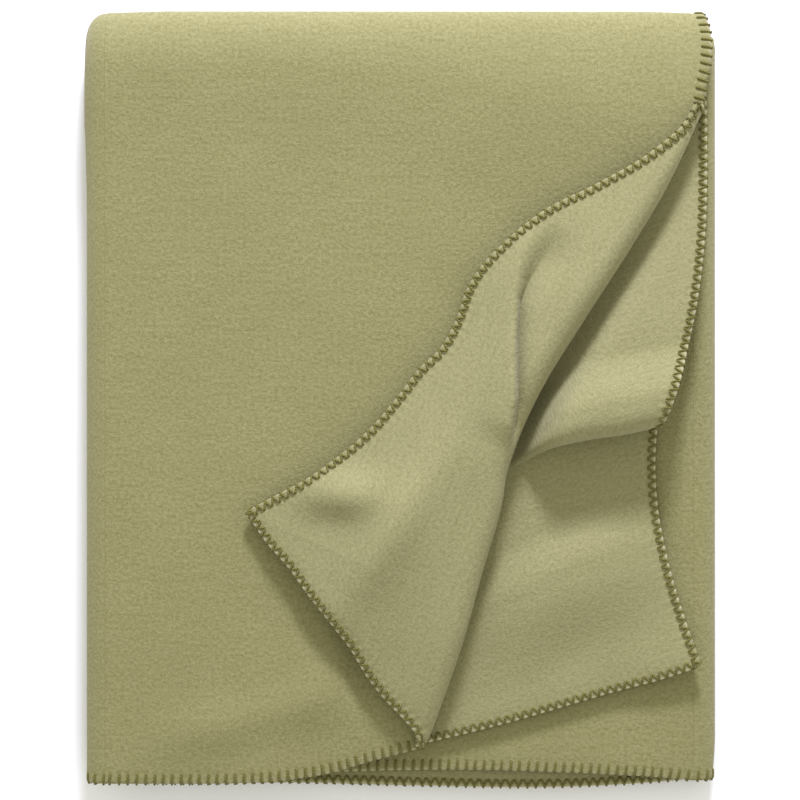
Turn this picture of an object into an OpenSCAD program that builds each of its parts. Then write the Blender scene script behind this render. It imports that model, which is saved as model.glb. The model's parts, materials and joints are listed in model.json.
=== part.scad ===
// Camp blanket, folded in half and then in thirds, with one corner of the top
// third turned back. One sheet, with a yarn stitch round all four edges.
// Millimetres. +Z is up, +Y runs to the half fold, and the origin is at the
// middle of the underside.

/* [Blanket] */
// Side of the open blanket that is folded in half
open_h = 1270; // [1140:10:1400]
// Side of the open blanket that is folded in thirds
open_w = 1524; // [1370:10:1680]
// Thickness of the sheet
ply_t = 4.5; // [3:0.1:5.5]
// Air between two sheets that lie on each other
ply_gap = 3.5; // [3:0.1:5]

/* [Turned corner] */
// Outer radius of the roll that the corner turns over
roll_r = 17; // [14:0.5:20]
// How far the turned corner leans down to its tip, in degrees
corner_lean = 5; // [3:0.5:6]

/* [Pleat] */
// Outer radius of the standing pleat in the second sheet
pleat_r = 19; // [14:0.5:20]
// Length of cloth tucked under the pleat
pleat_tuck = 45; // [20:1:60]

/* [Edge stitch] */
// Thickness of the yarn
yarn_d = 2.4; // [1.5:0.1:3]
// Distance from one stitch to the next
stitch_pitch = 8; // [6:0.5:12]
// Depth of a stitch in from the edge
stitch_bite = 11; // [8:0.5:14]
// How far the yarn stands out from the cloth
yarn_proud = 1; // [0.6:0.1:1.2]

/* [Hidden] */
$fn = 48;

cloth_colour = "#a6a170";
lit_colour = "#b4af82";
yarn_colour = "#69642d";

// Levels of the six sheets, counted from the ground
level_t = ply_t + ply_gap;
function level(i) = i * level_t;

// Bends: the inner one joins neighbours, the outer one goes round both
inner_r = ply_gap / 2;
outer_r = inner_r + level_t;
inner_mid = inner_r + ply_t / 2;
outer_mid = outer_r + ply_t / 2;

// Width between the two fold axes, and the height of a flat sheet. The cloth
// in the bends comes off each.
fold_x = (open_w / 3 - PI / 2 * (inner_mid + outer_mid)) / 2;
flat_h = open_h / 2 - PI / 2 * inner_mid;
half_height = (flat_h + inner_r + ply_t + yarn_proud) / 2;
hem_y = yarn_proud - half_height;
fold_y = hem_y + flat_h;

// Outline points are given on a sheet 508 wide and 635 high, and scale with
// the blanket
x_scale = open_w / 3 / 508;
y_scale = open_h / 2 / 635;
function scaled(pts) = [for (p = pts) [p[0] * x_scale, p[1] * y_scale]];

// Hems of the top sheet: bottom up to the roll, and side down from the fold
front_hem = concat([[-fold_x, hem_y]],
                   scaled([[-110, -315], [-62, -304], [-12, -287]]));
front_side = concat(scaled([[244, 238], [250, 254], [255, 280]]),
                    [[248 * x_scale, fold_y]]);

// Hems of the second sheet, which is drawn up to the right
second_hem = concat([[-fold_x, hem_y]],
                    scaled([[-110, -312], [-20, -296], [54, -277],
                            [146, -251], [247, -221]]));
second_lower_side = scaled([[247, -221], [233, -176], [220, -132],
                            [212, -97], [206, -40]]);
second_upper_side = concat(scaled([[218, -15], [224, 18], [241, 80],
                                   [250, 122], [251, 240]]),
                           [[249 * x_scale, fold_y]]);

// Hems of the turned corner, from the upper end of the roll to the tip, and
// from the tip to the lower end
corner_side = scaled([[187, 189], [158, 172], [128, 157], [99, 139],
                      [72, 112], [54, 86], [41, 53], [16, 24],
                      [-27, -28], [-77, -67], [-126, -94]]);
corner_hem = scaled([[-126, -94], [-92, -139], [-58, -182], [-27, -227],
                     [-5, -255]]);

// Roll axis: from the lower end to the upper end of the turned corner
roll_low = corner_hem[len(corner_hem) - 1];
roll_high = corner_side[0];
roll_run = roll_high - roll_low;
roll_len = norm(roll_run);
roll_angle = atan2(roll_run[1], roll_run[0]);
roll_z = level(5) + roll_r;

// A point seen along the roll axis: distance along it, distance out from it
function along_roll(p) =
    let (d = roll_run / roll_len, v = p - roll_low)
    [v * d, v * [-d[1], d[0]]];
corner_side_flat = [for (p = corner_side) along_roll(p)];
corner_hem_flat = [for (p = corner_hem) along_roll(p)];

// Outline of the pleat, from the foot of its front edge
pleat_low = scaled([[113, -53]])[0];
pleat_high = scaled([[216, -18]])[0];
pleat_outline = concat([pleat_low], scaled([[221, 197], [240, 212],
                       [247, 180], [247, 122], [238, 80], [221, 18]]),
                       [pleat_high]);
pleat_run = pleat_high - pleat_low;
pleat_angle = atan2(pleat_run[1], pleat_run[0]);
pleat_slope = 250 * y_scale;
pleat_lift = yarn_proud + 0.4;

// Outlines of the sheets, each counter-clockwise
plain_outline = [[-fold_x, hem_y], [fold_x, hem_y],
                 [fold_x, fold_y], [-fold_x, fold_y]];
front_outline = concat(front_hem, [roll_low, roll_high], front_side,
                       [[-fold_x, fold_y]]);
second_outline = concat(second_hem, second_lower_side, second_upper_side,
                        [[-fold_x, fold_y]]);
corner_outline = concat(corner_side_flat, corner_hem_flat);
plain_hem = [[-fold_x, hem_y], [fold_x, hem_y]];
left_side = [[-fold_x, fold_y], [-fold_x, hem_y]];

// A spot along a run of points: its place and its direction
function spot(run, d, i = 0) =
    let (step = run[i + 1] - run[i], l = norm(step))
    d <= l || i == len(run) - 2
        ? [run[i] + step * d / l, step / l]
        : spot(run, d - l, i + 1);
function run_length(run, i = 0) =
    i == len(run) - 1 ? 0
                      : norm(run[i + 1] - run[i]) + run_length(run, i + 1);

// A point beside that spot: a little further on, and out from the edge
function beside(run, d, on, out) =
    let (s = spot(run, d), t = s[1])
    s[0] + t * on + [t[1], -t[0]] * out;

// Outline of a row of stitches, with the yarn along the edge. The stitches
// stop short of the corners, and the yarn along the edge a little later.
function stitch_comb(run) =
    let (total = run_length(run),
         count = floor((total - 3 * stitch_bite) / stitch_pitch),
         first = (total - (count - 1) * stitch_pitch) / 2,
         places = [for (k = [0:count - 1]) first + k * stitch_pitch],
         start = 2 * yarn_proud,
         end = total - 2 * yarn_proud,
         half = yarn_d / 2)
    concat([beside(run, start, 0, yarn_proud)],
           [for (d = places) beside(run, d, 0, yarn_proud)],
           [beside(run, end, 0, yarn_proud),
            beside(run, end, 0, -yarn_proud)],
           [for (k = [count - 1:-1:0])
                for (c = [[half, -yarn_proud], [half, -stitch_bite],
                          [-half, -stitch_bite], [-half, -yarn_proud]])
                    beside(run, places[k], c[0], c[1])],
           [beside(run, start, 0, -yarn_proud)]);

// One flat sheet
module sheet(outline) {
    linear_extrude(ply_t) polygon(outline);
}

// Stitches round the edge of a sheet, clear of the sheet itself. The yarn
// lies flush under the lowest sheet.
module stitches(run, outline, under = yarn_proud) {
    color(yarn_colour) difference() {
        translate([0, 0, -under])
            linear_extrude(ply_t + under + yarn_proud)
                polygon(stitch_comb(run));
        sheet(outline);
    }
}

// A sheet bent round the X axis, from one angle to another
module bend(radius, length, from, to) {
    rotate([90, 0, 90]) rotate([0, 0, from])
        rotate_extrude(angle = to - from)
            translate([radius, 0]) square([ply_t, length]);
}

// Half fold at the top of a third, over the sheet at level i
module top_fold(i, length) {
    color(lit_colour)
        translate([-fold_x, fold_y, level(i) + ply_t + inner_r])
            bend(inner_r, length, -90, 90);
}

// Bend at the left or the right side, over the middle of level i's gap
module side_bend(x, i, radius, from, to) {
    color(cloth_colour)
        translate([x, hem_y, level(i) + ply_t + inner_r])
            rotate([0, 0, 90]) bend(radius, flat_h, from, to);
}

module bottom_lower_panel() {
    color(cloth_colour) sheet(plain_outline);
}

module bottom_upper_panel() {
    color(cloth_colour) translate([0, 0, level(1)]) sheet(plain_outline);
}

module bottom_top_fold() {
    top_fold(0, 2 * fold_x);
}

module bottom_lower_hem_stitches() {
    stitches(plain_hem, plain_outline, 0);
}

module bottom_upper_hem_stitches() {
    translate([0, 0, level(1)]) stitches(plain_hem, plain_outline);
}

module bottom_lower_side_stitches() {
    stitches(left_side, plain_outline, 0);
}

module bottom_upper_side_stitches() {
    translate([0, 0, level(1)]) stitches(left_side, plain_outline);
}

module right_outer_bend() {
    side_bend(fold_x, 1, outer_r, 90, 270);
}

module right_inner_bend() {
    side_bend(fold_x, 1, inner_r, 90, 270);
}

module middle_lower_panel() {
    color(cloth_colour) translate([0, 0, level(2)]) sheet(plain_outline);
}

module middle_upper_panel() {
    color(cloth_colour) translate([0, 0, level(3)]) sheet(plain_outline);
}

module middle_top_fold() {
    top_fold(2, 2 * fold_x);
}

module middle_lower_hem_stitches() {
    translate([0, 0, level(2)]) stitches(plain_hem, plain_outline);
}

module middle_upper_hem_stitches() {
    translate([0, 0, level(3)]) stitches(plain_hem, plain_outline);
}

module left_outer_bend() {
    side_bend(-fold_x, 3, outer_r, -90, 90);
}

module left_inner_bend() {
    side_bend(-fold_x, 3, inner_r, -90, 90);
}

module second_panel() {
    color(cloth_colour) translate([0, 0, level(4)]) sheet(second_outline);
}

// The pleat's section: a slope down from the crest, the rolled front edge,
// and the tuck under it
function half_turn(radius, from, to) =
    [for (k = [0:12])
        let (a = from + (to - from) * k / 12)
        [pleat_r + radius * cos(a), pleat_r + radius * sin(a)]];
module pleat_section() {
    polygon(concat([[pleat_slope, ply_t]], half_turn(pleat_r, 90, 270),
                   [[pleat_r + pleat_tuck, 0], [pleat_r + pleat_tuck, ply_t]],
                   half_turn(pleat_r - ply_t, 270, 90), [[pleat_slope, 0]]));
}

module second_pleat() {
    color(lit_colour) intersection() {
        linear_extrude(level(8)) polygon(pleat_outline);
        translate([pleat_low[0], pleat_low[1], level(4) + ply_t + pleat_lift])
            rotate([0, 0, pleat_angle]) translate([-pleat_slope, 0, 0])
                rotate([90, 0, 90]) linear_extrude(3 * pleat_slope)
                    pleat_section();
    }
}

module second_hem_stitches() {
    translate([0, 0, level(4)]) stitches(second_hem, second_outline);
}

module second_lower_side_stitches() {
    translate([0, 0, level(4)]) stitches(second_lower_side, second_outline);
}

module second_upper_side_stitches() {
    translate([0, 0, level(4)])
        stitches(second_upper_side, second_outline);
}

module front_panel() {
    color(cloth_colour) translate([0, 0, level(5)]) sheet(front_outline);
}

module front_top_fold() {
    top_fold(4, front_side[len(front_side) - 1][0] + fold_x);
}

module front_hem_stitches() {
    translate([0, 0, level(5)]) stitches(front_hem, front_outline);
}

module front_side_stitches() {
    translate([0, 0, level(5)]) stitches(front_side, front_outline);
}

// Puts a piece on the roll axis, which becomes its X axis
module on_roll() {
    translate([roll_low[0], roll_low[1], roll_z])
        rotate([0, 0, roll_angle]) children();
}

// Puts a piece on the leaning turned corner
module on_corner() {
    on_roll() rotate([-corner_lean, 0, 0])
        translate([0, 0, roll_r - ply_t]) children();
}

module corner_roll() {
    color(lit_colour) on_roll()
        bend(roll_r - ply_t, roll_len, 90 - corner_lean, 270);
}

module turned_corner() {
    color(cloth_colour) on_corner() sheet(corner_outline);
}

module corner_side_stitches() {
    on_corner() stitches(corner_side_flat, corner_outline);
}

module corner_hem_stitches() {
    on_corner() stitches(corner_hem_flat, corner_outline);
}

bottom_lower_panel();
bottom_upper_panel();
bottom_top_fold();
bottom_lower_hem_stitches();
bottom_upper_hem_stitches();
bottom_lower_side_stitches();
bottom_upper_side_stitches();
right_outer_bend();
right_inner_bend();
middle_lower_panel();
middle_upper_panel();
middle_top_fold();
middle_lower_hem_stitches();
middle_upper_hem_stitches();
left_outer_bend();
left_inner_bend();
second_panel();
second_pleat();
second_hem_stitches();
second_lower_side_stitches();
second_upper_side_stitches();
front_panel();
front_top_fold();
front_hem_stitches();
front_side_stitches();
corner_roll();
turned_corner();
corner_side_stitches();
corner_hem_stitches();
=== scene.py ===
"""Camp blanket, folded in half and in thirds, one corner turned back: its cloth, yarn, light and camera."""

import json
import math

import bpy
import numpy as np
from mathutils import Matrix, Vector


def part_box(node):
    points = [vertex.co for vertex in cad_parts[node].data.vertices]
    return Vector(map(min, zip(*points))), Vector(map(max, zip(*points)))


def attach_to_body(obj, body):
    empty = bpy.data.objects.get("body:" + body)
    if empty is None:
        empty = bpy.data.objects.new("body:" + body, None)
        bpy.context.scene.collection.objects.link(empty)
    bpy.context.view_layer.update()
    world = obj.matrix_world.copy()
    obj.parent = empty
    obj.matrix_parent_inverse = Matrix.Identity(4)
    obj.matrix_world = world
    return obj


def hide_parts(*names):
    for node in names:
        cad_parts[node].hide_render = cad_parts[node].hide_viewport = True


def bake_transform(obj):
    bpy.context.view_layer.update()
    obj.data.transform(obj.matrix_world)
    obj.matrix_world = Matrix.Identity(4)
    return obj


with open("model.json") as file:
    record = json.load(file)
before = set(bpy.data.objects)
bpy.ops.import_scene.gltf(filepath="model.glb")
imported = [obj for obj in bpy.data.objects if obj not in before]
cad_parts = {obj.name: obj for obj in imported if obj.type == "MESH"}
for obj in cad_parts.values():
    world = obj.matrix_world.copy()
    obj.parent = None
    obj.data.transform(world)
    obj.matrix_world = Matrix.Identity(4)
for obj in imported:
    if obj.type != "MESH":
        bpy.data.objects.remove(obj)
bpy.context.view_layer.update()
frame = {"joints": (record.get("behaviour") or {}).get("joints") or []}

# ---------------------------------------------------------------- sizes, in millimetres
MM = 0.001
STITCH_PITCH = 7.3
STITCH_BITE = 8.8
STITCH_UNEVEN = 0.35
STITCH_PINCH = 0.27  # the share of the cloth's thickness that a stitch presses in
STITCH_PULL = 0.55  # how far a stitch pulls the edge in
EDGE_ROUND = 2.6
EDGE_SWELL = 0.22  # the share of its thickness that the cloth gains between stitches
HEM_REACH = 17  # the most that a hem reaches in from its edge
BAR_RADIUS = 1.15
LEG_RADIUS = 1.0


def low(node, axis):
    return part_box(node)[0][axis] / MM


def high(node, axis):
    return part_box(node)[1][axis] / MM


def middle_z(node):
    return (low(node, 2) + high(node, 2)) / 2


LEFT = low("front_panel", 0)  # the left fold's axis
RIGHT = high("middle_upper_panel", 0)  # the right fold's axis
HEM = low("middle_upper_panel", 1)
TOP = high("front_top_fold", 1)
PLY = high("front_panel", 2) - low("front_panel", 2)
PITCH = middle_z("front_panel") - middle_z("second_panel")
Z_BOTTOM_LOWER = middle_z("bottom_lower_panel")
Z_BOTTOM_UPPER = middle_z("bottom_upper_panel")
Z_MIDDLE_LOWER = middle_z("middle_lower_panel")
Z_MIDDLE_UPPER = middle_z("middle_upper_panel")
Z_SECOND = middle_z("second_panel")
Z_FRONT = middle_z("front_panel")

corner_joint = next(j for j in frame["joints"] if j["name"] == "corner_fold")
ROLL_POINT = np.array(corner_joint["pos_m"]) / MM
ROLL_ALONG = np.array(corner_joint["axis"])[:2]
ROLL_OUT = np.array([-ROLL_ALONG[1], ROLL_ALONG[0]])


# ---------------------------------------------------------------- curves and grids
def smooth(x, start=0.0, end=1.0):
    """Rises softly from 0 at start to 1 at end."""
    t = np.clip((np.asarray(x, float) - start) / (end - start), 0, 1)
    return t * t * (3 - 2 * t)


def bump(x, centre, width):
    """A soft hump of height 1."""
    return np.exp(-(((np.asarray(x, float) - centre) / width) ** 2))


class Path:
    """A smooth curve through given points, measured by its length."""

    def __init__(self, points, dense=1500):
        p = np.array(points, float)
        knots = np.concatenate([[0], np.cumsum(np.linalg.norm(np.diff(p, axis=0), axis=1))])
        slope = np.gradient(p, knots, axis=0)
        t = np.linspace(0, knots[-1], dense)
        i = np.clip(np.searchsorted(knots, t, side="right") - 1, 0, len(p) - 2)
        h = (knots[i + 1] - knots[i])[:, None]
        x = (t - knots[i])[:, None] / h
        self.points = (
            (2 * x**3 - 3 * x**2 + 1) * p[i]
            + (x**3 - 2 * x**2 + x) * h * slope[i]
            + (3 * x**2 - 2 * x**3) * p[i + 1]
            + (x**3 - x**2) * h * slope[i + 1]
        )
        steps = np.linalg.norm(np.diff(self.points, axis=0), axis=1)
        self.run = np.concatenate([[0], np.cumsum(steps)])
        self.length = self.run[-1]

    def at(self, s):
        return np.stack([np.interp(s, self.run, c) for c in self.points.T], axis=-1)

    def share(self, f):
        return self.at(np.asarray(f) * self.length)

    def across(self, key, axis=0):
        """The other coordinates where one coordinate, which must keep rising or falling, has these values."""
        column = self.points[:, axis]
        order = np.argsort(column)
        return np.stack([np.interp(key, column[order], c[order]) for c in self.points.T], axis=-1)


def curve_of(pairs):
    """A smooth function through given (x, y) pairs."""
    path = Path(pairs)
    order = np.argsort(path.points[:, 0])
    return lambda x: np.interp(x, path.points[order, 0], path.points[order, 1])


def unit(v):
    return v / np.maximum(np.linalg.norm(v, axis=-1, keepdims=True), 1e-9)


def normals_of(grid):
    """Upright normals of a grid of points whose rows and columns run the way that +Y and +X do."""
    by_row = np.gradient(grid, axis=0)
    by_column = np.gradient(grid, axis=1)
    return unit(np.cross(by_column, by_row))


class Cloth:
    """A piece of the sheet: a grid of mid-surface points, with the thickness and the hems laid on it."""

    def __init__(self, name, grid, uv):
        self.name = name
        self.grid = np.asarray(grid, float)
        self.uv = np.asarray(uv, float)
        self.normal = normals_of(self.grid)
        self.half = np.full(self.grid.shape[:2], PLY / 2)
        # where a highlight is painted on the cloth's puffs at its hem edges
        self.pale = np.zeros(self.grid.shape[:2])
        self.hems = {}

    # pale is how strongly the painted highlight shows on the puffs at this hem's edge
    def hem(self, name, places, bars_up, skip=(0.0, 0.0), pale=0.35, phase=0.5):
        """A hem along grid places (row, column), with its stitches' bars on the upper side or the lower.
        skip is the length without stitches at each end, and phase the first stitch's place in the pitch."""
        i, j = np.array(places).T
        line = self.grid[i, j]
        run = np.concatenate([[0], np.cumsum(np.linalg.norm(np.diff(line, axis=0), axis=1))])
        rows, columns = self.half.shape
        inside = self.grid[np.clip(i, 3, rows - 4), np.clip(j, 3, columns - 4)] - line
        along = unit(np.gradient(line, axis=0))
        normal = self.normal[i, j]
        inward = np.cross(normal, along)
        inward *= np.sign((inward * inside).sum(-1, keepdims=True))
        self.hems[name] = dict(
            line=line, run=run, along=along, normal=normal, inward=unit(inward),
            bars_up=bars_up, skip=skip, pale=pale, phase=phase,
        )

    def finish_edges(self):
        """Rounds the hems, pinches the cloth at each stitch so that it puffs out between them, and paints a
        pale highlight on the puffs at the edge.
        """
        points = self.grid.reshape(-1, 3)
        half = self.half.reshape(-1)
        pale = self.pale.reshape(-1)
        moved = points.copy()
        for h in self.hems.values():
            box_low, box_high = h["line"].min(0) - HEM_REACH, h["line"].max(0) + HEM_REACH
            near = np.where(np.all((points > box_low) & (points < box_high), axis=1))[0]
            for chunk in np.array_split(near, max(1, len(near) // 4000)):
                gap = points[chunk][:, None] - h["line"][None]
                far = (gap**2).sum(-1)
                k = far.argmin(1)
                d = np.sqrt(far[np.arange(len(chunk)), k])
                s = h["run"][k] + (gap[np.arange(len(chunk)), k] * h["along"][k]).sum(-1)
                beat = np.cos(math.pi * (s / STITCH_PITCH - h["phase"])) ** 2
                covered = 1 - smooth(d, STITCH_BITE - 2, STITCH_BITE + 5)
                rim = np.sqrt(np.clip(1 - (1 - np.clip(d / EDGE_ROUND, 0, 1)) ** 2, 0.03, 1))
                gain = EDGE_SWELL * (1 - beat) * bump(d, 4.0, 3.0)
                swell = 1 + covered * (gain - STITCH_PINCH * beat)
                half[chunk] = np.minimum(half[chunk], PLY / 2 * swell * rim + (swell > 1) * 0.3 * rim)
                ends = smooth(s, 20, 50) * smooth(h["run"][-1] - s, 4, 9)
                # painted highlight: the cloth's puffs at the very edge, between the stitches, are painted
                # paler
                bare = (1 - smooth(d, 0.6, 3.0)) * (1 - beat) ** 1.5
                pale[chunk] = np.maximum(pale[chunk], h["pale"] * bare * ends)
                pull = STITCH_PULL * beat * (1 - smooth(d, 0, 7))
                moved[chunk] += h["inward"][k] * pull[:, None]
        self.grid = moved.reshape(self.grid.shape)
        self.half = half.reshape(self.half.shape)
        self.pale = pale.reshape(self.half.shape)

    def on_surface(self, query, side, lift):
        """Points on the cloth near the query points: on its upper side at side 1, its lower at -1."""
        points = self.grid.reshape(-1, 3)
        normal = self.normal.reshape(-1, 3)
        half = self.half.reshape(-1)
        flat = query.reshape(-1, 3)
        box_low, box_high = flat.min(0) - 6, flat.max(0) + 6
        near = np.where(np.all((points > box_low) & (points < box_high), axis=1))[0]
        out = np.empty_like(flat)
        up = np.empty_like(flat)
        for chunk in np.array_split(np.arange(len(flat)), max(1, len(flat) // 400)):
            lo, hi = flat[chunk].min(0) - 5, flat[chunk].max(0) + 5
            local = near[np.all((points[near] > lo) & (points[near] < hi), axis=1)]
            local = local if len(local) else near
            far = ((flat[chunk][:, None] - points[local][None]) ** 2).sum(-1)
            k = local[far.argmin(1)]
            n = normal[k]
            height = ((flat[chunk] - points[k]) * n).sum(-1, keepdims=True)
            tall = (side.reshape(-1)[chunk] * (half[k] + lift.reshape(-1)[chunk]))[:, None]
            out[chunk] = flat[chunk] - n * height + n * tall
            up[chunk] = n
        return out.reshape(query.shape), up.reshape(query.shape)


def make_object(name, vertices, faces, uvs, material, sharp=50):
    """A mesh object from millimetre vertices, quads or triangles, and one UV for each corner."""
    mesh = bpy.data.meshes.new(name)
    mesh.from_pydata((np.asarray(vertices) * MM).tolist(), [], np.asarray(faces).tolist())
    layer = mesh.uv_layers.new(name="cloth")
    layer.data.foreach_set("uv", (np.asarray(uvs) * MM).astype(np.float32).ravel())
    mesh.polygons.foreach_set("use_smooth", np.ones(len(mesh.polygons), bool))
    mesh.materials.append(material)
    if sharp:
        mesh.set_sharp_from_angle(angle=math.radians(sharp))
    mesh.update()
    obj = bpy.data.objects.new(name, mesh)
    bpy.context.scene.collection.objects.link(obj)
    return obj


def grid_quads(rows, columns):
    index = np.arange(rows * columns).reshape(rows, columns)
    quads = np.stack([index[:-1, :-1], index[:-1, 1:], index[1:, 1:], index[1:, :-1]], axis=-1)
    return quads.reshape(-1, 4)


def cloth_object(cloth, material):
    """The closed mesh of a piece of cloth."""
    rows, columns = cloth.half.shape
    count = rows * columns
    rise = cloth.normal * cloth.half[..., None]
    vertices = np.concatenate([(cloth.grid + rise).reshape(-1, 3), (cloth.grid - rise).reshape(-1, 3)])
    upper = grid_quads(rows, columns)
    lower = upper[:, ::-1] + count
    index = np.arange(count).reshape(rows, columns)
    ring = np.concatenate([index[0, :], index[1:, -1], index[-1, -2::-1], index[-2:0:-1, 0]])
    after = np.roll(ring, -1)
    rim = np.stack([ring, ring + count, after + count, after], axis=-1)
    faces = np.concatenate([upper, lower, rim])
    uv = np.concatenate([cloth.uv.reshape(-1, 2)] * 2)
    obj = make_object(cloth.name, vertices, faces, uv[faces.ravel()], material)
    face_up = any(h["bars_up"] for h in cloth.hems.values())
    reverse = np.concatenate([np.full(count, 1 - face_up), np.full(count, face_up)])
    # the painted highlight on the edge puffs, and which face is the reverse
    for key, values in (("cut_edge", np.tile(cloth.pale.reshape(-1), 2)), ("reverse", reverse)):
        obj.data.attributes.new(key, "FLOAT", "POINT").data.foreach_set("value", values.astype(np.float32))
    return obj


def tubes_object(name, lines, ups, radii, material, sides=8):
    """Yarn: many short tubes along lines (n, k, 3), with one radius for each of the k places."""
    n, k = lines.shape[:2]
    tangent = unit(np.gradient(lines, axis=1))
    aside = unit(np.cross(tangent, ups))
    above = np.cross(aside, tangent)
    angle = np.arange(sides) * 2 * math.pi / sides
    ring = (
        aside[:, :, None] * np.cos(angle)[None, None, :, None]
        + above[:, :, None] * np.sin(angle)[None, None, :, None]
    )
    shell = lines[:, :, None] + ring * radii.reshape(1, k, 1, 1)
    vertices = shell.reshape(-1, 3)
    index = np.arange(n * k * sides).reshape(n, k, sides)
    nxt = np.roll(index, -1, axis=2)
    quads = np.stack([index[:, :-1], nxt[:, :-1], nxt[:, 1:], index[:, 1:]], axis=-1).reshape(-1, 4)
    steps = np.linalg.norm(np.diff(lines, axis=1), axis=2).mean(0)
    run = np.concatenate([[0], np.cumsum(steps)])
    lap = np.arange(sides) / sides * 4.0
    u = np.broadcast_to(run[None, :-1, None], (n, k - 1, sides))
    u2 = np.broadcast_to(run[None, 1:, None], (n, k - 1, sides))
    v = np.broadcast_to(lap[None, None], (n, k - 1, sides))
    v2 = v + 4.0 / sides
    uvs = np.stack([np.stack(c, axis=-1) for c in ((u, v), (u, v2), (u2, v2), (u2, v))], axis=-2)
    return make_object(name, vertices, quads, uvs.reshape(-1, 2), material, sharp=None)


# ---------------------------------------------------------------- stitches
# places along a strand: along the hem, inward from the edge, side (1 the bars' face, -1 the other), lift
BAR = np.array(
    [
        [0.9, 9.4, 1, -1.7], [0.8, 8.7, 1, -0.5], [0.7, 7.9, 1, 0.25], [0.5, 6.2, 1, 0.5],
        [0.25, 4.2, 1, 0.55], [0.0, 2.4, 1, 0.5], [0.0, 0.9, 1, 0.7], [0.0, -0.5, 0.75, 1.1],
        [0.0, -1.2, 0.0, 0.0], [0.0, -0.5, -0.75, 1.1], [0.0, 1.0, -1, 0.3],
    ]
)
BAR_WIDTH = np.array([0.25, 0.8, 1.0, 1.0, 0.96, 0.92, 0.9, 0.86, 0.82, 0.72, 0.3]) * BAR_RADIUS
LEG = np.array(
    [
        [0.0, -0.2, -0.8, 0.9], [0.3, 0.9, -1, 0.4], [1.0, 2.5, -1, 0.4], [1.8, 4.1, -1, 0.4],
        [2.6, 5.6, -1, 0.3], [3.2, 6.8, -1, -0.3], [3.5, 7.4, -1, -1.5],
    ]
)
LEG_WIDTH = np.array([0.7, 1.0, 1.0, 1.0, 1.0, 0.8, 0.3]) * LEG_RADIUS


def stitch_lines(cloth, h, places, pattern, mirror=1.0):
    """The pattern laid at each place along a hem: (lines, ups)."""
    s = np.asarray(places)[:, None] + mirror * pattern[None, :, 0]

    def at_places(key):
        return np.stack([np.interp(s, h["run"], c) for c in h[key].T], axis=-1)

    inward = np.broadcast_to(pattern[None, :, 1], s.shape)
    flip = 1.0 if h["bars_up"] else -1.0
    side = np.broadcast_to(flip * pattern[None, :, 2], s.shape)
    lift = np.broadcast_to(pattern[None, :, 3], s.shape)
    edge = at_places("line")
    direction = unit(at_places("inward"))
    query = edge + direction * np.maximum(inward, 0)[..., None]
    on, up = cloth.on_surface(query, side, lift)
    on += direction * np.minimum(inward, 0)[..., None]
    return on, up


def stitch_object(cloth, hem, name, material):
    """One hem's yarn: a bar across one face and over the edge, and two slanting legs across the other."""
    h = cloth.hems[hem]
    first, last = h["skip"][0], h["run"][-1] - h["skip"][1]
    start = math.ceil(first / STITCH_PITCH - h["phase"])
    stop = math.floor(last / STITCH_PITCH - h["phase"]) + 1
    places = (np.arange(start, stop) + h["phase"]) * STITCH_PITCH
    rng = np.random.default_rng(len(name) * 7 + 3)
    places = places + rng.uniform(-STITCH_UNEVEN, STITCH_UNEVEN, len(places))
    bars, bar_ups = stitch_lines(cloth, h, places, BAR)
    legs_a, ups_a = stitch_lines(cloth, h, places, LEG)
    legs_b, ups_b = stitch_lines(cloth, h, places, LEG, mirror=-1.0)
    legs, leg_ups = np.concatenate([legs_a, legs_b]), np.concatenate([ups_a, ups_b])
    bars_object = tubes_object(name + "_bars", bars, bar_ups, BAR_WIDTH, material)
    legs_object = tubes_object(name + "_legs", legs, leg_ups, LEG_WIDTH, material, sides=6)
    return join([bars_object, legs_object], name)


def join(objects, name):
    bpy.ops.object.select_all(action="DESELECT")
    for o in objects:
        o.select_set(True)
    bpy.context.view_layer.objects.active = objects[0]
    bpy.ops.object.join()
    objects[0].name = name
    objects[0].data.name = name
    return objects[0]


# ---------------------------------------------------------------- materials
OLIVE_DARK = (0.178, 0.167, 0.060, 1)
OLIVE_LIGHT = (0.270, 0.254, 0.110, 1)
OLIVE_DEEP = (0.125, 0.115, 0.034, 1)
OLIVE_PALE = (0.30, 0.285, 0.14, 1)
OLIVE_CLOUD = (0.185, 0.173, 0.065, 1)
STRAW = (0.37, 0.35, 0.20, 1)
REVERSE_PALE = (0.62, 0.60, 0.42, 1)
# painted highlight: the paler colour for the cloth's puffs at the hem edges, between the stitches
PAINTED_PUFF_HIGHLIGHT = (0.60, 0.57, 0.38, 1)
YARN_DARK = (0.105, 0.094, 0.014, 1)
YARN_LIGHT = (0.165, 0.150, 0.034, 1)
YARN_FUZZ = (0.24, 0.222, 0.085, 1)


def new_material(name):
    material = bpy.data.materials.new(name)
    material.use_nodes = True
    tree = material.node_tree
    tree.nodes.clear()
    return material, tree


def node(tree, kind, **values):
    n = tree.nodes.new(kind)
    for key, value in values.items():
        if key in n.inputs.keys():
            n.inputs[key].default_value = value
        else:
            setattr(n, key, value)
    return n


def mix_colour(tree, factor, a, b, blend="MIX"):
    n = tree.nodes.new("ShaderNodeMix")
    n.data_type = "RGBA"
    n.blend_type = blend
    for socket, value in ((n.inputs[0], factor), (n.inputs[6], a), (n.inputs[7], b)):
        if hasattr(value, "is_linked"):
            tree.links.new(value, socket)
        else:
            socket.default_value = value
    return n.outputs[2]


def mapped(tree, scale, rotation=0.0):
    """The cloth's own flat coordinates, in metres, scaled."""
    uv = tree.nodes.new("ShaderNodeUVMap")
    uv.uv_map = "cloth"
    mapping = tree.nodes.new("ShaderNodeMapping")
    mapping.inputs["Scale"].default_value = (*scale, 1)
    mapping.inputs["Rotation"].default_value = (0, 0, rotation)
    tree.links.new(uv.outputs[0], mapping.inputs[0])
    return mapping.outputs[0]


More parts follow.
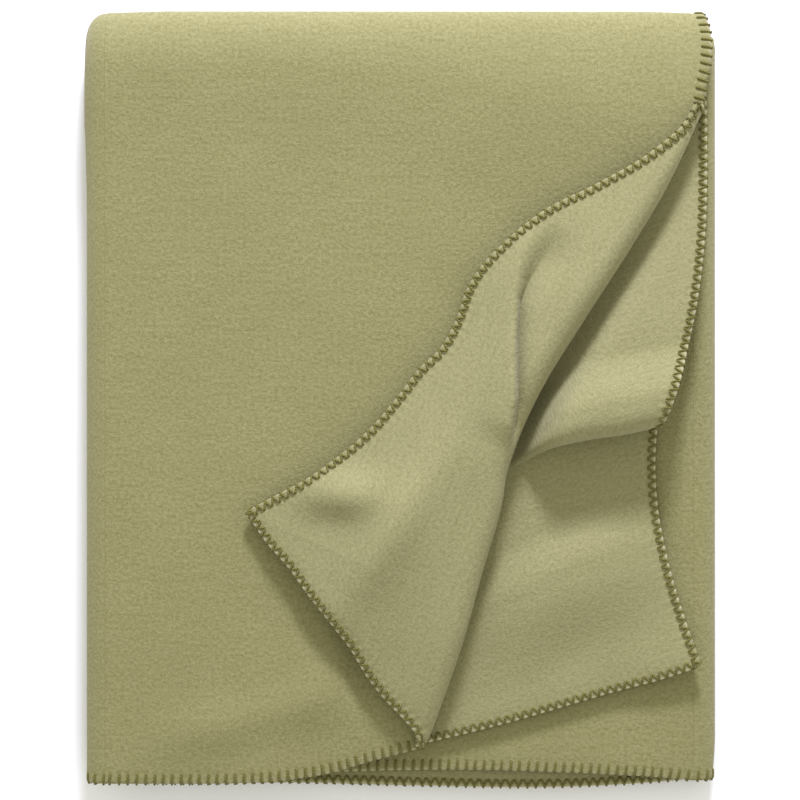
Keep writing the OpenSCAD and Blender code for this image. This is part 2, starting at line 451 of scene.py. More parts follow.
def noise(tree, vector, detail=3.0, roughness=0.6, distortion=0.0):
    n = node(tree, "ShaderNodeTexNoise", Scale=1.0, Detail=detail, Roughness=roughness, Distortion=distortion)
    tree.links.new(vector, n.inputs["Vector"])
    return n.outputs["Fac"]


def stretch(tree, value, start, end, low_out=0.0, high_out=1.0):
    n = tree.nodes.new("ShaderNodeMapRange")
    for socket, v in zip(n.inputs[1:5], (start, end, low_out, high_out)):
        socket.default_value = v
    tree.links.new(value, n.inputs[0])
    return n.outputs[0]


def math_node(tree, operation, a, b):
    n = tree.nodes.new("ShaderNodeMath")
    n.operation = operation
    for socket, value in ((n.inputs[0], a), (n.inputs[1], b)):
        if hasattr(value, "is_linked"):
            tree.links.new(value, socket)
        else:
            socket.default_value = value
    return n.outputs[0]


def surface(tree, colour, relief, constants):
    """The shader: a colour, a relief or none, and constant values for its other sockets."""
    shader = node(tree, "ShaderNodeBsdfPrincipled", **constants)
    tree.links.new(colour, shader.inputs["Base Color"])
    if relief:
        tree.links.new(relief.outputs[0], shader.inputs["Normal"])
    output = tree.nodes.new("ShaderNodeOutputMaterial")
    tree.links.new(shader.outputs[0], output.inputs[0])


def fleece():
    """Brushed felted cloth: mixed olive and straw fibres, short soft clumps, faint streaks across, and a
    painted highlight on the puffs at the hem edges.
    """
    material, tree = new_material("fleece")
    clumps = noise(tree, mapped(tree, (310, 360)), detail=3.0, roughness=0.6, distortion=0.1)
    fibres = noise(tree, mapped(tree, (900, 1100), 0.5), detail=2.0, roughness=0.7, distortion=0.3)
    streaks = noise(tree, mapped(tree, (28, 170)), detail=2.0, roughness=0.5)
    clouds = noise(tree, mapped(tree, (14, 11)), detail=3.0, roughness=0.55)
    base = mix_colour(tree, stretch(tree, clumps, 0.33, 0.67), OLIVE_DARK, OLIVE_LIGHT)
    straw = mix_colour(tree, stretch(tree, fibres, 0.56, 0.78), base, STRAW)
    shade = mix_colour(tree, stretch(tree, fibres, 0.44, 0.24), straw, OLIVE_DEEP)
    mixed = mix_colour(tree, stretch(tree, streaks, 0.3, 0.72, 0.0, 0.22), shade, OLIVE_PALE)
    cloudy = mix_colour(tree, stretch(tree, clouds, 0.35, 0.7, 0.0, 0.2), mixed, OLIVE_CLOUD)
    reverse = node(tree, "ShaderNodeAttribute", attribute_name="reverse")
    reverse_share = math_node(tree, "MULTIPLY", reverse.outputs["Fac"], 0.07)
    faced = mix_colour(tree, reverse_share, cloudy, REVERSE_PALE)
    # painted highlight on the puffs at the hem edges
    edge = node(tree, "ShaderNodeAttribute", attribute_name="cut_edge")
    colour = mix_colour(tree, edge.outputs["Fac"], faced, PAINTED_PUFF_HIGHLIGHT)
    height = math_node(tree, "ADD", clumps, math_node(tree, "MULTIPLY", fibres, 0.35))
    relief = node(tree, "ShaderNodeBump", Strength=0.55, Distance=0.0011)
    tree.links.new(height, relief.inputs["Height"])
    sheen = {"Sheen Weight": 0.16, "Sheen Roughness": 0.6, "Sheen Tint": (1.0, 0.99, 0.9, 1)}
    surface(tree, colour, relief, {"Roughness": 0.93, "Specular IOR Level": 0.15, **sheen})
    return material


def yarn():
    """Soft twisted olive yarn."""
    material, tree = new_material("yarn")
    twist = node(tree, "ShaderNodeTexWave", Scale=210, Distortion=1.5, Detail=2)
    tree.links.new(mapped(tree, (1, 1), 0.7), twist.inputs["Vector"])
    fuzz = noise(tree, mapped(tree, (1400, 1400)), detail=2)
    colour = mix_colour(tree, twist.outputs["Fac"], YARN_DARK, YARN_LIGHT)
    colour = mix_colour(tree, stretch(tree, fuzz, 0.5, 0.8, 0.0, 0.5), colour, YARN_FUZZ)
    relief = node(tree, "ShaderNodeBump", Strength=0.6, Distance=0.0006)
    tree.links.new(math_node(tree, "ADD", twist.outputs["Fac"], fuzz), relief.inputs["Height"])
    surface(tree, colour, relief, {"Roughness": 0.88, "Specular IOR Level": 0.2, "Sheen Weight": 0.15})
    return material


def paper():
    """The plain pale floor."""
    material, tree = new_material("pale_floor")
    grain = noise(tree, mapped(tree, (3, 3)), detail=2)
    colour = mix_colour(tree, grain, (0.93, 0.93, 0.93, 1), (0.96, 0.96, 0.96, 1))
    surface(tree, colour, None, {"Roughness": 0.9})
    return material


FLEECE = fleece()
YARN = yarn()


# ---------------------------------------------------------------- the thirds
RIPPLE_WAVES = (310, 190, 120, 75)
RIPPLE_HEIGHT = 0.42


def ripple(x, y, seed):
    """Gentle unevenness of cloth that lies on cloth, in millimetres."""
    rng = np.random.default_rng(seed)
    z = np.zeros(np.broadcast(x, y).shape)
    for wave in RIPPLE_WAVES:
        for _ in range(3):
            a = rng.uniform(0, 2 * math.pi)
            turns = (x * math.cos(a) + y * math.sin(a)) / wave
            z = z + wave / RIPPLE_WAVES[0] * np.sin(turns * 2 * math.pi + rng.uniform(0, 6.28))
    return z * RIPPLE_HEIGHT


# distances from an edge where the grids have their close rows, for the stitches' puffs
HEM_ROWS = np.array([0, 0.3, 0.8, 1.5, 2.5, 4.0, 5.6, 7.2, 8.8, 10.4, 12.4, 15.0])
HEM_DEPTH = 15
BOTTOM_INSET = 8  # how far the bottom third's hemmed left edge is in from the fold above it


def plain_third(name, lower_z, upper_z, inset, hem_shift, floor_lift, seed, left_hem):
    """Two layers joined by a half fold: rows run up the lower layer, round the fold and down the upper.
    Returns the cloth and the number of rows in one layer."""
    radius = (upper_z - lower_z) / 2
    top = TOP_EDGE - inset - radius
    up = np.concatenate([HEM_ROWS, np.linspace(HEM_DEPTH, top - HEM, 60)[1:]])
    side = LEFT + BOTTOM_INSET
    inner = np.linspace(side + HEM_DEPTH, RIGHT, 230)[1:]
    x = np.concatenate([side + HEM_ROWS, inner]) if left_hem else np.linspace(LEFT, RIGHT, 242)
    arc = np.linspace(0, math.pi, 13)[1:-1]
    y = np.concatenate([HEM + up, top + radius * np.sin(arc), (HEM + up)[::-1]])
    fold_z = lower_z + radius * (1 - np.cos(arc))
    z = np.concatenate([np.full(len(up), lower_z), fold_z, np.full(len(up), upper_z)])
    run = np.concatenate([[0], np.cumsum(np.hypot(np.diff(y), np.diff(z)))])
    x, y = np.broadcast_arrays(x[None], y[:, None])
    from_hem = y - HEM
    lower = (np.arange(len(z)) < len(up) + 5)[:, None]
    shift = np.where(lower, hem_shift[0], hem_shift[1]) + 2.0 * np.sin(x / 61 + seed + 2 * lower)
    y = y + shift * (1 - smooth(from_hem, 0, 220)) * (1 - np.abs(x / RIGHT) ** 6)
    edge = 1 - smooth(from_hem, 6, 34)
    if left_hem:
        edge = np.maximum(edge, 1 - smooth(x - side, 6, 34))
    calm = smooth(x - LEFT, 0, 50) * smooth(RIGHT - x, 0, 50) * (1 - smooth(y, top - 40, top))
    z = z[:, None] + floor_lift * edge + np.where(lower, 0, 0.35) * calm * ripple(x, y, seed)
    uv = np.stack([x, np.broadcast_to(run[:, None], x.shape)], axis=-1)
    cloth = Cloth(name, np.stack([x, y, z], axis=-1), uv)
    across, last = range(x.shape[1]), len(z) - 1
    cloth.hem("lower_hem", [(0, c) for c in across], False, (5, 4))
    cloth.hem("upper_hem", [(last, c) for c in across], False, (4, 5))
    if left_hem:
        cloth.hem("lower_side", [(r, 0) for r in range(len(up) + 5)], False, (5, 3))
        cloth.hem("upper_side", [(r, 0) for r in range(last, len(up) + 5, -1)], False, (5, 3))
    return cloth, len(up)


def side_lines(grid, column, rows_up):
    """The lower and upper layers' edge lines at one column of a third, both from the hem to the half fold."""
    line = grid[:, column]
    return line[: rows_up + 6], line[: rows_up + 4 : -1]


BEND_LENGTH = 640  # about how long a bend's edge lines are, to share out its rows
REACH_RIGHT, REACH_LEFT = 1.45, 1.2  # how far a bend bulges, in halves of the gap that it crosses
SQUARE_FROM = 0.85  # the share of the left outer bend's length from which its bulge is full
SQUARE_CORNER = 0.028  # the share of its length that its rounded end takes


def bend_between(name, one, other, outward, bars_up, flat):
    """Cloth bent in a half ellipse from edge line one to edge line other, bulging towards outward.
    flat is the edge line's flat coordinates, where the bend carries on from the sheet that shows."""
    rows = np.concatenate([HEM_ROWS, np.linspace(HEM_DEPTH, BEND_LENGTH, 110)[1:]]) / BEND_LENGTH
    one, other = Path(one).share(rows), Path(other).share(rows)
    centre, arm = (one + other) / 2, (one - other) / 2
    radius = np.linalg.norm(arm, axis=1, keepdims=True)
    steps = 27 if radius.max() > 6 else 13
    angle = np.linspace(0, math.pi, steps)[None, :, None]
    reach = (REACH_RIGHT if outward > 0 else REACH_LEFT) * np.abs(arm[:, 2])
    if steps > 20 and outward < 0:  # the front third keeps its width right up to the top corner
        corner_share = np.clip((rows - (1 - SQUARE_CORNER)) / SQUARE_CORNER, 0, 1)
        reach = np.where(rows > SQUARE_FROM, reach.max() * (1 - corner_share**3) ** (1 / 3), reach)
    swing = reach[:, None, None] * np.array([outward, 0, 0])
    grid = centre[:, None] + arm[:, None] * np.cos(angle) + swing * np.sin(angle)
    out = angle[..., 0] if outward > 0 else math.pi - angle[..., 0]
    flat = Path(flat).share(rows)
    uv = flat[:, None] + (out * outward * radius.max())[..., None] * np.array([1, 0])
    cloth = Cloth(name, grid, uv)
    cloth.hem("hem", [(0, c) for c in range(steps)], bars_up, (2, 1))
    cloth.finish_edges()
    return cloth


# ---------------------------------------------------------------- the front third: top fold and front sheet
DROOP = 27.0  # how far the sheet comes down at its top edge
PLUMP = 4.0  # how far it rises before that
TURN = PITCH / 2
TOP_EDGE = TOP - PLY / 2 + 1.0


def top_line(x):
    """The front third's top edge: a little lower at its corners."""
    return TOP_EDGE - 1.5 * smooth(-x, 190, 250) - 1.5 * smooth(x, 190, 255)


def droop_reach(x):
    """How far in from the top edge the front third starts to curve down: further at its plumper right end."""
    return 48 + 40 * smooth(x, -100, 200)


def front_level(x, y):
    """Height of the front sheet where it lies flat or curves down towards the half fold."""
    d = np.maximum(top_line(x) - y, 0)
    reach = droop_reach(x)
    lobe = 1 - np.clip(1 - d / reach, 0, 1) ** 2
    plump = PLUMP * (0.8 + 0.4 * smooth(x, -50, 120))
    crown = np.exp(-(np.maximum(d - reach, 0) / 60) ** 2)
    drop = (DROOP + plump - PLUMP) * (1 - np.sqrt(lobe))
    # two low swells to the left of the roll's low end: one runs up the sheet, and a longer one across it
    across = (x + 52) * 0.962 + (y + 232) * 0.272
    short_swell = 5.0 * np.where(across < 0, bump(across, 0, 34), bump(across, 0, 13)) * bump(y, -232, 46)
    off = (x + 41) * -0.243 + (y + 243) * 0.97
    long_swell = 4.0 * bump(off, 0, 19) * smooth(x, -235, -140) * (1 - smooth(x, -75, -40))
    calm = smooth(x, LEFT, LEFT + 40) * (1 - smooth(x, 180, 240))
    calm = calm * smooth(d, 0, 60) * smooth(y, HEM, HEM + 60)
    return Z_FRONT + plump * crown - drop + ripple(x, y, 4) * calm + (short_swell + long_swell)


def second_level(x, y):
    """Height of the second sheet at rest under the front one."""
    d = np.maximum(top_line(x) - y - 2 * TURN, 0)
    lobe = 1 - np.clip(1 - d / (droop_reach(x) - 2 * TURN), 0, 1) ** 2
    low_z = front_level(x, top_line(x))
    return Z_SECOND - (Z_SECOND - low_z) * (1 - np.sqrt(lobe))


# curves along the roll: the distance along its axis from ROLL_POINT, then a distance out from the axis,
# a radius or a height
ROLL_LOW_END, ROLL_TOP_END = -262, 310
TIP_U = -142.0
SILHOUETTE = curve_of(
    [(-262, -34), (-167, -27), (-110, -19), (-51, -11), (-32, -6), (0, -3), (44, -4),
     (107, -13), (172, -24), (230, -32), (310, -35)]
)
ROLL_RADIUS = curve_of(
    [(-262, 4), (-225, 8), (-167, 11.5), (-90, 13), (-20, 14.5), (44, 15.5), (172, 13), (240, 9),
     (285, 5.5), (310, 4)]
)
CORNER_HEM = curve_of(
    [(-142, 175.5), (-159, 148.5), (-169.5, 126), (-184, 101), (-196, 78), (-210, 53),
     (-226, 31), (-236, 13), (-245, -8), (-254, -25), (-262, -33)]
)
CORNER_SIDE = curve_of(
    [(-142, 175.5), (-116, 155), (-98, 140.5), (-76, 127), (-43, 110.5), (-3, 98), (22, 91.5),
     (41, 83.5), (58, 80.5), (77, 80.5), (94, 82), (111, 80), (144, 68.5), (179, 50), (215, 20),
     (254, -9), (274, -20), (292, -28), (310, -33)]
)
EDGE_LIFT = curve_of(
    [(-262, 13), (-196, 16), (-142, 11), (-98, 12), (-3, 12), (94, 14), (179, 16), (240, 15), (310, 13)]
)
# the hidden line under the roll where the front sheet ends and the turned corner's mesh begins
UNDER_SEAM = [(-262, -35), (-250, -27), (-236, -19), (-200, -9), (-167, -1), (-51, 12), (44, 15), (107, 10),
              (172, 1), (240, -14), (275, -25), (298, -32), (310, -36)]


# where these pieces' flat coordinates start, so that their fibres don't repeat the front sheet's
CORNER_FLAT, SECOND_FLAT = (700, 900), (1400, 300)


def roll_plan(u, v):
    """Plan position from the distance along the roll and out from it."""
    return ROLL_POINT[:2] + np.asarray(u)[..., None] * ROLL_ALONG + np.asarray(v)[..., None] * ROLL_OUT


def roll_coordinates(x, y):
    dx, dy = x - ROLL_POINT[0], y - ROLL_POINT[1]
    return dx * ROLL_ALONG[0] + dy * ROLL_ALONG[1], dx * ROLL_OUT[0] + dy * ROLL_OUT[1]


def corner_relief(u, v):
    """The turned corner's own relief: a hump, a shoulder, a ridge, and a crease from its side to the roll."""
    x, y = roll_plan(u, v).T
    hump = 11.0 * bump(x, -47, 30) * bump(y, -80, 17)
    shoulder = 8.0 * smooth(v, 2, 50) * (1 - smooth(v, 75, 125)) * bump(u, -120, 85)
    run = (u + 106) * -0.993 + (v - 58) * 0.116
    off = (u + 106) * 0.116 + (v - 58) * 0.993
    ridge = 9.0 * np.exp(-((off / 17) ** 2)) * bump(run, 0, 66)
    crease = np.interp(u, [-32, -2, 28, 73, 104, 121, 153, 200], [-6, 2.6, 11, 30, 41, 43.3, 42.2, 40])
    side = v - crease
    reach = smooth(u, -14, 12) * (1 - smooth(u, 140, 176))
    width = 3.0 + 9.0 * smooth(u, 95, 150)
    step = smooth(side, -width, width)
    lobe = 5.5 * np.exp(-((np.maximum(side, 0) / 26) ** 2)) * step
    groove = -9.5 * np.exp(-((np.minimum(side, 0) / (5 + 1.4 * width)) ** 2)) * (1 - step)
    return hump + shoulder + ridge + (lobe + groove) * reach


def make_turned_corner():
    """The turned corner with its roll: rows run from under the roll, round it and out to the hems."""
    low_u = np.arange(ROLL_LOW_END, TIP_U, 0.85)
    u = np.concatenate([low_u, np.linspace(TIP_U, ROLL_TOP_END, 300)])
    tip = len(low_u)
    edge_v = np.where(u < TIP_U, CORNER_HEM(u), CORNER_SIDE(u))
    radius, left_of = ROLL_RADIUS(u), SILHOUETTE(u)
    start_v = left_of + radius
    edge_v = np.maximum(edge_v, start_v + 1.5)
    seam = Path(UNDER_SEAM).across(u)
    foot = roll_plan(u, start_v)
    base = front_level(foot[:, 0], foot[:, 1])
    rows, uv = [], []
    # under the roll
    for w in np.linspace(1, 0, 7):
        plan = roll_plan(seam[:, 0] * w + u * (1 - w), seam[:, 1] * w + start_v * (1 - w))
        z = front_level(plan[:, 0], plan[:, 1])
        rows.append(np.column_stack([plan, z]))
        uv.append(np.column_stack([u, -(start_v - left_of) * math.pi - w * 20]))
    # round it
    wide = smooth(edge_v - start_v, 0, 60)
    for angle in np.linspace(0, math.pi, 25)[1:]:
        v = start_v - radius * math.sin(angle)
        plan = roll_plan(u, v)
        rise = 1 - math.cos(angle)
        lift = radius * rise + corner_relief(u, v) * wide * smooth(rise, 0.6, 1.9)
        rows.append(np.column_stack([plan, base + lift]))
        uv.append(np.column_stack([u, start_v - radius * (math.pi - angle)]))
    # out to the hems
    length = edge_v - start_v
    from_edge = HEM_ROWS[:, None] * np.minimum(1, length / 30)
    inner = np.linspace(0, 1, 56)[1:-1, None] * (length - from_edge[-1])
    out = np.concatenate([inner, (length - from_edge)[::-1]])
    top_z = base + 2 * radius
    edge_z = base + np.maximum(EDGE_LIFT(u), 2 * radius * (1 - smooth(length, 0, 40)))
    for o in out:
        share = o / length
        v = start_v + o
        ease = 0.45 * smooth(share) + 0.55 * share
        relief = corner_relief(u, v) * wide
        rows.append(np.column_stack([roll_plan(u, v), top_z + (edge_z - top_z) * ease + relief]))
        uv.append(np.column_stack([u, v]))
    cloth = Cloth("turned_corner_cloth", np.array(rows), np.array(uv) + CORNER_FLAT)
    last, end = len(rows) - 1, len(u) - 1
    hem_places = [(r, 0) for r in range(2, last)] + [(last, c) for c in range(tip + 1)]
    side_places = [(last, c) for c in range(tip, end + 1)] + [(r, end) for r in range(last - 1, 1, -1)]
    cloth.hem("corner_hem", hem_places, False, (4, 2), 0.9)
    cloth.hem("corner_side", side_places, False, (2, 4), 0.0)
    return cloth


def make_front_sheet():
    """The front sheet from its hem to the half fold: its right edge is the hidden seam, then the side hem."""
    seam = Path([roll_plan(a, b) for a, b in UNDER_SEAM]).points
    side = Path([seam[-1], (250, 253), (253.7, 272), (255, 289), (254.5, 301), (251.5, TOP_EDGE - 2)])
    hem = Path(
        [(LEFT, HEM), (-190, HEM), (-120, HEM + 1), (-85, HEM + 4), (-57, HEM + 9), (-26, HEM + 18),
         (-3, HEM + 24), tuple(seam[0])]
    )
    right = np.concatenate([seam, side.points[1:]])
    y_low = seam[0][1]
    body = np.linspace(HEM_DEPTH, 520, 74)[1:]
    fine = np.linspace(520, TOP_EDGE - HEM - 0.6, 62)[1:]
    turn = np.linspace(0, math.pi / 2, 7)
    columns = np.linspace(0, 1, 300)
    rows, uv = [], []
    for b in np.concatenate([HEM_ROWS, body, fine]):
        share = b / (TOP_EDGE - HEM)
        y_right = y_low + share * (TOP_EDGE - 2 - y_low)
        x_right = np.interp(y_right, right[:, 1], right[:, 0])
        x = LEFT + columns * (x_right - LEFT)
        hem_y = np.interp(x, hem.points[:, 0], hem.points[:, 1])
        y = hem_y + share * (top_line(x) - hem_y)
        rows.append(np.column_stack([x, y, front_level(x, y)]))
        uv.append(np.column_stack([x, y]))
    x = rows[-1][:, 0]
    for a in turn[1:]:
        y = top_line(x) - TURN * (1 - math.cos(a))
        z = front_level(x, top_line(x)) - TURN * math.sin(a)
        rows.append(np.column_stack([x, y, z]))
        uv.append(np.column_stack([x, top_line(x) + a * TURN + 20]))
    cloth = Cloth("front_cloth", np.array(rows), np.array(uv))
    right_column = len(columns) - 1
    first_free = next(i for i, r in enumerate(rows) if r[-1, 1] > seam[-1][1])
    cloth.hem("front_hem", [(0, c) for c in range(right_column + 1)], True, (3, 4))
    cloth.hem("front_side", [(r, right_column) for r in range(first_free, len(rows))], True, (2, 3))
    return cloth


# ---------------------------------------------------------------- the second sheet, with its pleat
SECOND_HEM = Path(
    [(LEFT, HEM), (-150, HEM + 1), (-60, HEM + 11), (-10, HEM + 24), (20, -285), (54, -277), (93, -267),
     (146, -251.5), (177, -242.5), (208, -234), (247, -221)]
)
# where the pleat's foot crosses each upright line of the sheet; a line goes by its flat x
PLEAT_X = curve_of(
    [(-242, -242), (-100, -118), (20, -18), (100, 52), (137, 86), (165, 116), (195, 148), (225, 181),
     (255, 213)]
)
PLEAT_Y = curve_of(
    [(-242, -100), (20, -86), (100, -74), (137, -60), (165, -45), (195, -34), (225, -29), (255, -22)]
)
PLEAT_START, PLEAT_END, PLEAT_HEIGHT = -40, 24, 39.5
# the pleat from the side: distance up the sheet from its foot, and height
PLEAT_SECTION = Path(
    [(-40, 0), (-22, 0.2), (-6, 0.8), (10, 2), (22, 3.6), (29.5, 7), (30.5, 11), (26, 14.2), (16, 15),
     (6, 17), (0.5, 23), (0.5, 30), (6, 37), (14, 39.5), (24, 39.5)],
    dense=260,
)
SHEET_RIGHT = 254.0


def pleat_weight(x, y):
    """How far the pleat stands up: not at all beside the roll, fully a little way off."""
    u, v = roll_coordinates(x, y)
    return smooth(SILHOUETTE(np.clip(u, ROLL_LOW_END, ROLL_TOP_END)) - v, 1, 36)


def second_column(a):
    """One upright line of the second sheet, as dense points from its hem over the pleat to the half fold."""
    hem = SECOND_HEM.share((a - LEFT) / (SHEET_RIGHT - LEFT))
    front = np.array([PLEAT_X(a), PLEAT_Y(a)])
    top_x = LEFT + (a - LEFT) * (249 - LEFT) / (SHEET_RIGHT - LEFT)
    top = np.array([top_x, float(top_line(top_x)) - 2 * TURN])
    bow = smooth(a, 60, SHEET_RIGHT)
    lower_run, upper_run = np.linalg.norm(front - hem), np.linalg.norm(top - front)

    def plan(s):
        below = np.clip(-s / lower_run, 0, 1)
        above = np.clip(s / upper_run, 0, 1)
        p = front + np.outer(below, hem - front) + np.outer(above, top - front)
        p[:, 0] += bow * (-13 * np.sin(math.pi * below**0.85) + 20 * np.sin(math.pi * above**0.8))
        return p

    weight = float(pleat_weight(*plan(np.array([14.0]))[0]))
    s_low = np.linspace(-lower_run, PLEAT_START, 160)[:-1]
    crisp = smooth(a, 120, 200)
    soft_s = np.linspace(PLEAT_START, PLEAT_END, len(PLEAT_SECTION.points))
    s_mid = PLEAT_SECTION.points[:, 0] * crisp + soft_s * (1 - crisp)
    s_mid = s_mid * np.where(s_mid > 0, weight, 1)
    s_high = np.linspace(PLEAT_END * weight, upper_run, 320)[1:]
    s = np.concatenate([s_low, s_mid, s_high])
    p = plan(s)
    behind = smooth(s_high, PLEAT_END * weight, 70)
    fall = 1 - 0.46 * behind - 0.54 * smooth(s_high, 50, 0.75 * upper_run)
    local = pleat_weight(p[-len(s_high):, 0], p[-len(s_high):, 1])
    high_h = PLEAT_HEIGHT * fall * (weight + (local - weight) * behind)
    panel = 11.0 * bump(a, 165, 75) * smooth(s_low, -62, -100) * (1 - smooth(s_low, -112, -175))
    lift = np.concatenate([panel, PLEAT_SECTION.points[:, 1] * weight, high_h])
    corner_rise = 6.0 * smooth(a, 170, SHEET_RIGHT) * smooth(-s, lower_run - 70, lower_run)
    z = second_level(p[:, 0], p[:, 1]) + lift + corner_rise
    line = np.column_stack([p, z])
    turn = np.linspace(math.pi, math.pi / 2, 7)[1:]
    foot = line[-1]
    end_y = foot[1] + TURN + TURN * np.cos(turn)
    end_z = foot[2] - TURN * np.sin(turn)
    return np.vstack([line, np.column_stack([np.full(len(turn), foot[0]), end_y, end_z])])


def make_second_sheet():
    """The second sheet from its hem over the pleat to the half fold, as upright lines side by side."""
    left_part = np.linspace(LEFT, 0, 34)[:-1]
    right_part = np.linspace(0, SHEET_RIGHT - HEM_DEPTH, 142)[:-1]
    edge = SHEET_RIGHT - HEM_ROWS[::-1]
    a_list = np.concatenate([left_part, right_part, edge])
    rest = np.linspace(0, 1, 330)[1:]
    columns, uv = [], []
    for a in a_list:
        line = second_column(a)
        run = np.concatenate([[0], np.cumsum(np.linalg.norm(np.diff(line, axis=0), axis=1))])
        b = np.concatenate([HEM_ROWS, HEM_DEPTH + rest * (run[-1] - HEM_DEPTH)])
        columns.append(np.stack([np.interp(b, run, c) for c in line.T], axis=-1))
        uv.append(np.column_stack([np.full(len(b), a), b]))
    grid = np.swapaxes(np.array(columns), 0, 1)
    cloth = Cloth("second_cloth", grid, np.swapaxes(np.array(uv), 0, 1) + SECOND_FLAT)
    rows, last = grid.shape[0], grid.shape[1] - 1
    cloth.hem("second_hem", [(0, c) for c in range(last + 1)], False, (3, 2), 0.9)
    cloth.hem("second_side", [(r, last) for r in range(rows)], False, (2, 2), 0.5)
    return cloth


# ---------------------------------------------------------------- build
front = make_front_sheet()
corner = make_turned_corner()
second = make_second_sheet()
middle, middle_up = plain_third(
    "middle_cloth", Z_MIDDLE_LOWER, Z_MIDDLE_UPPER,
    inset=30, hem_shift=(-5, 7), floor_lift=0, seed=1, left_hem=False,
)
bottom, bottom_up = plain_third(
    "bottom_cloth", Z_BOTTOM_LOWER, Z_BOTTOM_UPPER,
    inset=9, hem_shift=(-6, -3), floor_lift=2.2, seed=2, left_hem=True,
)
middle_left, middle_right = side_lines(middle.grid, 0, middle_up), side_lines(middle.grid, -1, middle_up)
middle_flat = side_lines(middle.uv, -1, middle_up)
bottom_right = side_lines(bottom.grid, -1, bottom_up)
left_outer = bend_between("left_outer_cloth", middle_left[0], front.grid[:, 0], -1, True, front.uv[:, 0])
left_inner = bend_between("left_inner_cloth", middle_left[1], second.grid[:, 0], -1, False, second.uv[:, 0])
right_outer = bend_between("right_outer_cloth", middle_right[1], bottom_right[0], 1, True, middle_flat[1])
right_inner = bend_between("right_inner_cloth", middle_right[0], bottom_right[1], 1, False, middle_flat[0])

for cloth in (front, corner, second, middle, bottom):
    cloth.finish_edges()

FRONT, MIDDLE, BOTTOM, CORNER = "front_third", "middle_third", "bottom_third", "turned_corner"
LEFT_BLEND = (MIDDLE, FRONT, Z_MIDDLE_UPPER * MM - 0.002, Z_SECOND * MM + 0.002)
RIGHT_BLEND = (BOTTOM, MIDDLE, Z_BOTTOM_UPPER * MM - 0.002, Z_MIDDLE_LOWER * MM + 0.002)
CORNER_BLEND = (FRONT, CORNER, Z_FRONT * MM + 0.0076, Z_FRONT * MM + 0.0118)


def attach(obj, holder):
    """Rides on one body; held between two, it only has its placement baked into its mesh."""
    if isinstance(holder, str):
        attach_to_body(obj, holder)
        return
    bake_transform(obj)


# each cloth: what it rides on, the CAD nodes it stands for, its flat size in metres, its area where it
# isn't a rectangle, how it is held, what it rests on
MIDDLE_NODES = ["middle_lower_panel", "middle_upper_panel", "middle_top_fold"]
BOTTOM_NODES = ["bottom_lower_panel", "bottom_upper_panel", "bottom_top_fold"]
CLOTHS = [
    (front, FRONT, ["front_panel", "front_top_fold"], (0.50, 0.65), 0.245, "laid", ["second_cloth"]),
    (corner, CORNER_BLEND, ["turned_corner", "corner_roll"], (0.62, 0.28), 0.075, "folded", ["front_cloth"]),
    (second, FRONT, ["second_panel", "second_pleat"], (0.50, 0.70), 0.33, "laid", ["middle_cloth"]),
    (middle, MIDDLE, MIDDLE_NODES, (0.483, 1.24), None, "folded", ["bottom_cloth"]),
    (bottom, BOTTOM, BOTTOM_NODES, (0.483, 1.26), None, "folded", ["floor"]),
    (left_outer, LEFT_BLEND, ["left_outer_bend"], (0.042, 0.64), None, "folded", []),
    (left_inner, LEFT_BLEND, ["left_inner_bend"], (0.014, 0.64), None, "folded", []),
    (right_outer, RIGHT_BLEND, ["right_outer_bend"], (0.047, 0.63), None, "folded", []),
    (right_inner, RIGHT_BLEND, ["right_inner_bend"], (0.016, 0.63), None, "folded", []),
]
for cloth, holder, nodes, flat, area, held, rests_on in CLOTHS:
    obj = cloth_object(cloth, FLEECE)
    attach(obj, holder)
    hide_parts(*nodes)

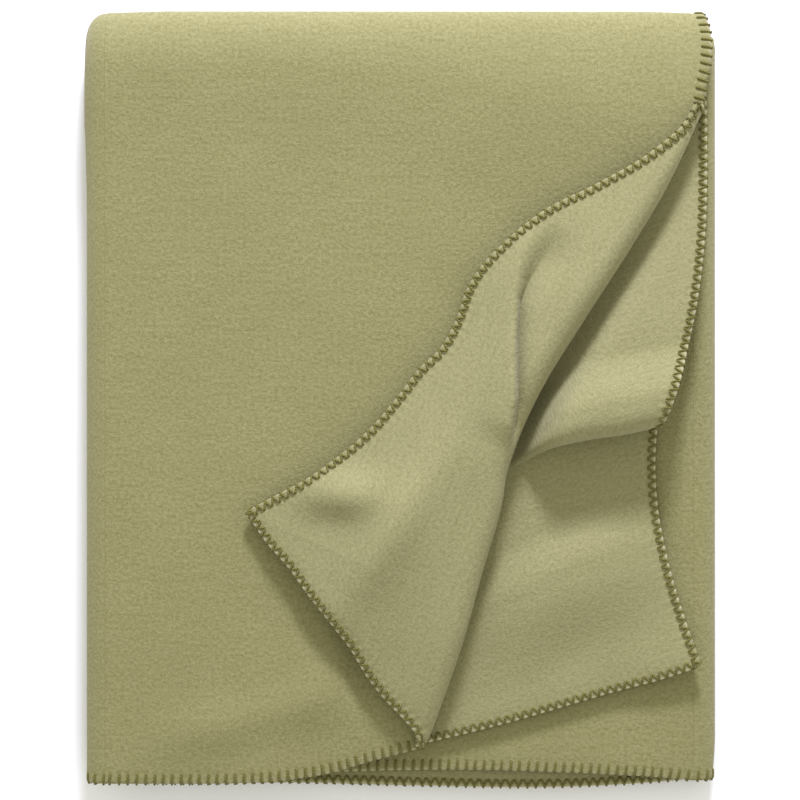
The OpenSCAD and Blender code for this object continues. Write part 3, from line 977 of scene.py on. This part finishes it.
# the edge yarn: cloth, hem, what it rides on, the CAD node it stands for
YARNS = [
    (front, "front_hem", FRONT, "front_hem_stitches"),
    (front, "front_side", FRONT, "front_side_stitches"),
    (corner, "corner_hem", CORNER_BLEND, "corner_hem_stitches"),
    (corner, "corner_side", CORNER_BLEND, "corner_side_stitches"),
    (second, "second_hem", FRONT, "second_hem_stitches"),
    (second, "second_side", FRONT, "second_lower_side_stitches"),
    (middle, "lower_hem", MIDDLE, "middle_lower_hem_stitches"),
    (middle, "upper_hem", MIDDLE, "middle_upper_hem_stitches"),
    (bottom, "lower_hem", BOTTOM, "bottom_lower_hem_stitches"),
    (bottom, "upper_hem", BOTTOM, "bottom_upper_hem_stitches"),
    (bottom, "lower_side", BOTTOM, "bottom_lower_side_stitches"),
    (bottom, "upper_side", BOTTOM, "bottom_upper_side_stitches"),
    (left_outer, "hem", LEFT_BLEND, None),
    (left_inner, "hem", LEFT_BLEND, None),
    (right_outer, "hem", RIGHT_BLEND, None),
    (right_inner, "hem", RIGHT_BLEND, None),
]
for cloth, hem, holder, cad in YARNS:
    obj = stitch_object(cloth, hem, cloth.name.replace("cloth", "") + hem + "_yarn", YARN)
    attach(obj, holder)
    if cad:
        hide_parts(cad)
    if cad == "second_lower_side_stitches":
        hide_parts("second_upper_side_stitches")

# ---------------------------------------------------------------- floor, light, camera
FLOOR_HALF = 3000
AMBIENT_COLOUR, AMBIENT_STRENGTH = (1, 0.99, 0.93, 1), 0.88
KEY_PLACE, KEY_TARGET, KEY_SIZE = (0.2, 2.7, 1.35), (0, 0, 0.03), 0.5
KEY_WATTS, KEY_COLOUR = 124, (1.0, 1.0, 1.22)
CAMERA_PLACE, CAMERA_LENS = (-0.0004, -0.0029, 1.895), 101.9

floor_corners = [(a * FLOOR_HALF, b * FLOOR_HALF, 0) for a, b in ((-1, -1), (1, -1), (1, 1), (-1, 1))]
floor_uv = [p[:2] for p in floor_corners]
floor = make_object("floor", floor_corners, [(0, 1, 2, 3)], floor_uv, paper(), sharp=None)

scene = bpy.context.scene
world = bpy.data.worlds.new("studio")
world.use_nodes = True
world.node_tree.nodes["Background"].inputs["Color"].default_value = AMBIENT_COLOUR
world.node_tree.nodes["Background"].inputs["Strength"].default_value = AMBIENT_STRENGTH
scene.world = world

key_light = bpy.data.lights.new("key", "AREA")
key_light.shape = "SQUARE"
key_light.size = KEY_SIZE
key_light.energy = KEY_WATTS
key_light.color = KEY_COLOUR
key = bpy.data.objects.new("key", key_light)
key.location = KEY_PLACE
key.rotation_euler = (Vector(KEY_TARGET) - Vector(KEY_PLACE)).to_track_quat("-Z", "Y").to_euler()
scene.collection.objects.link(key)

# the camera looks straight down, as a new camera does
camera_data = bpy.data.cameras.new("camera")
camera_data.lens = CAMERA_LENS
camera_data.sensor_width = 36
camera = bpy.data.objects.new("camera", camera_data)
camera.location = CAMERA_PLACE
scene.collection.objects.link(camera)
scene.camera = camera
scene.view_settings.view_transform = "Standard"
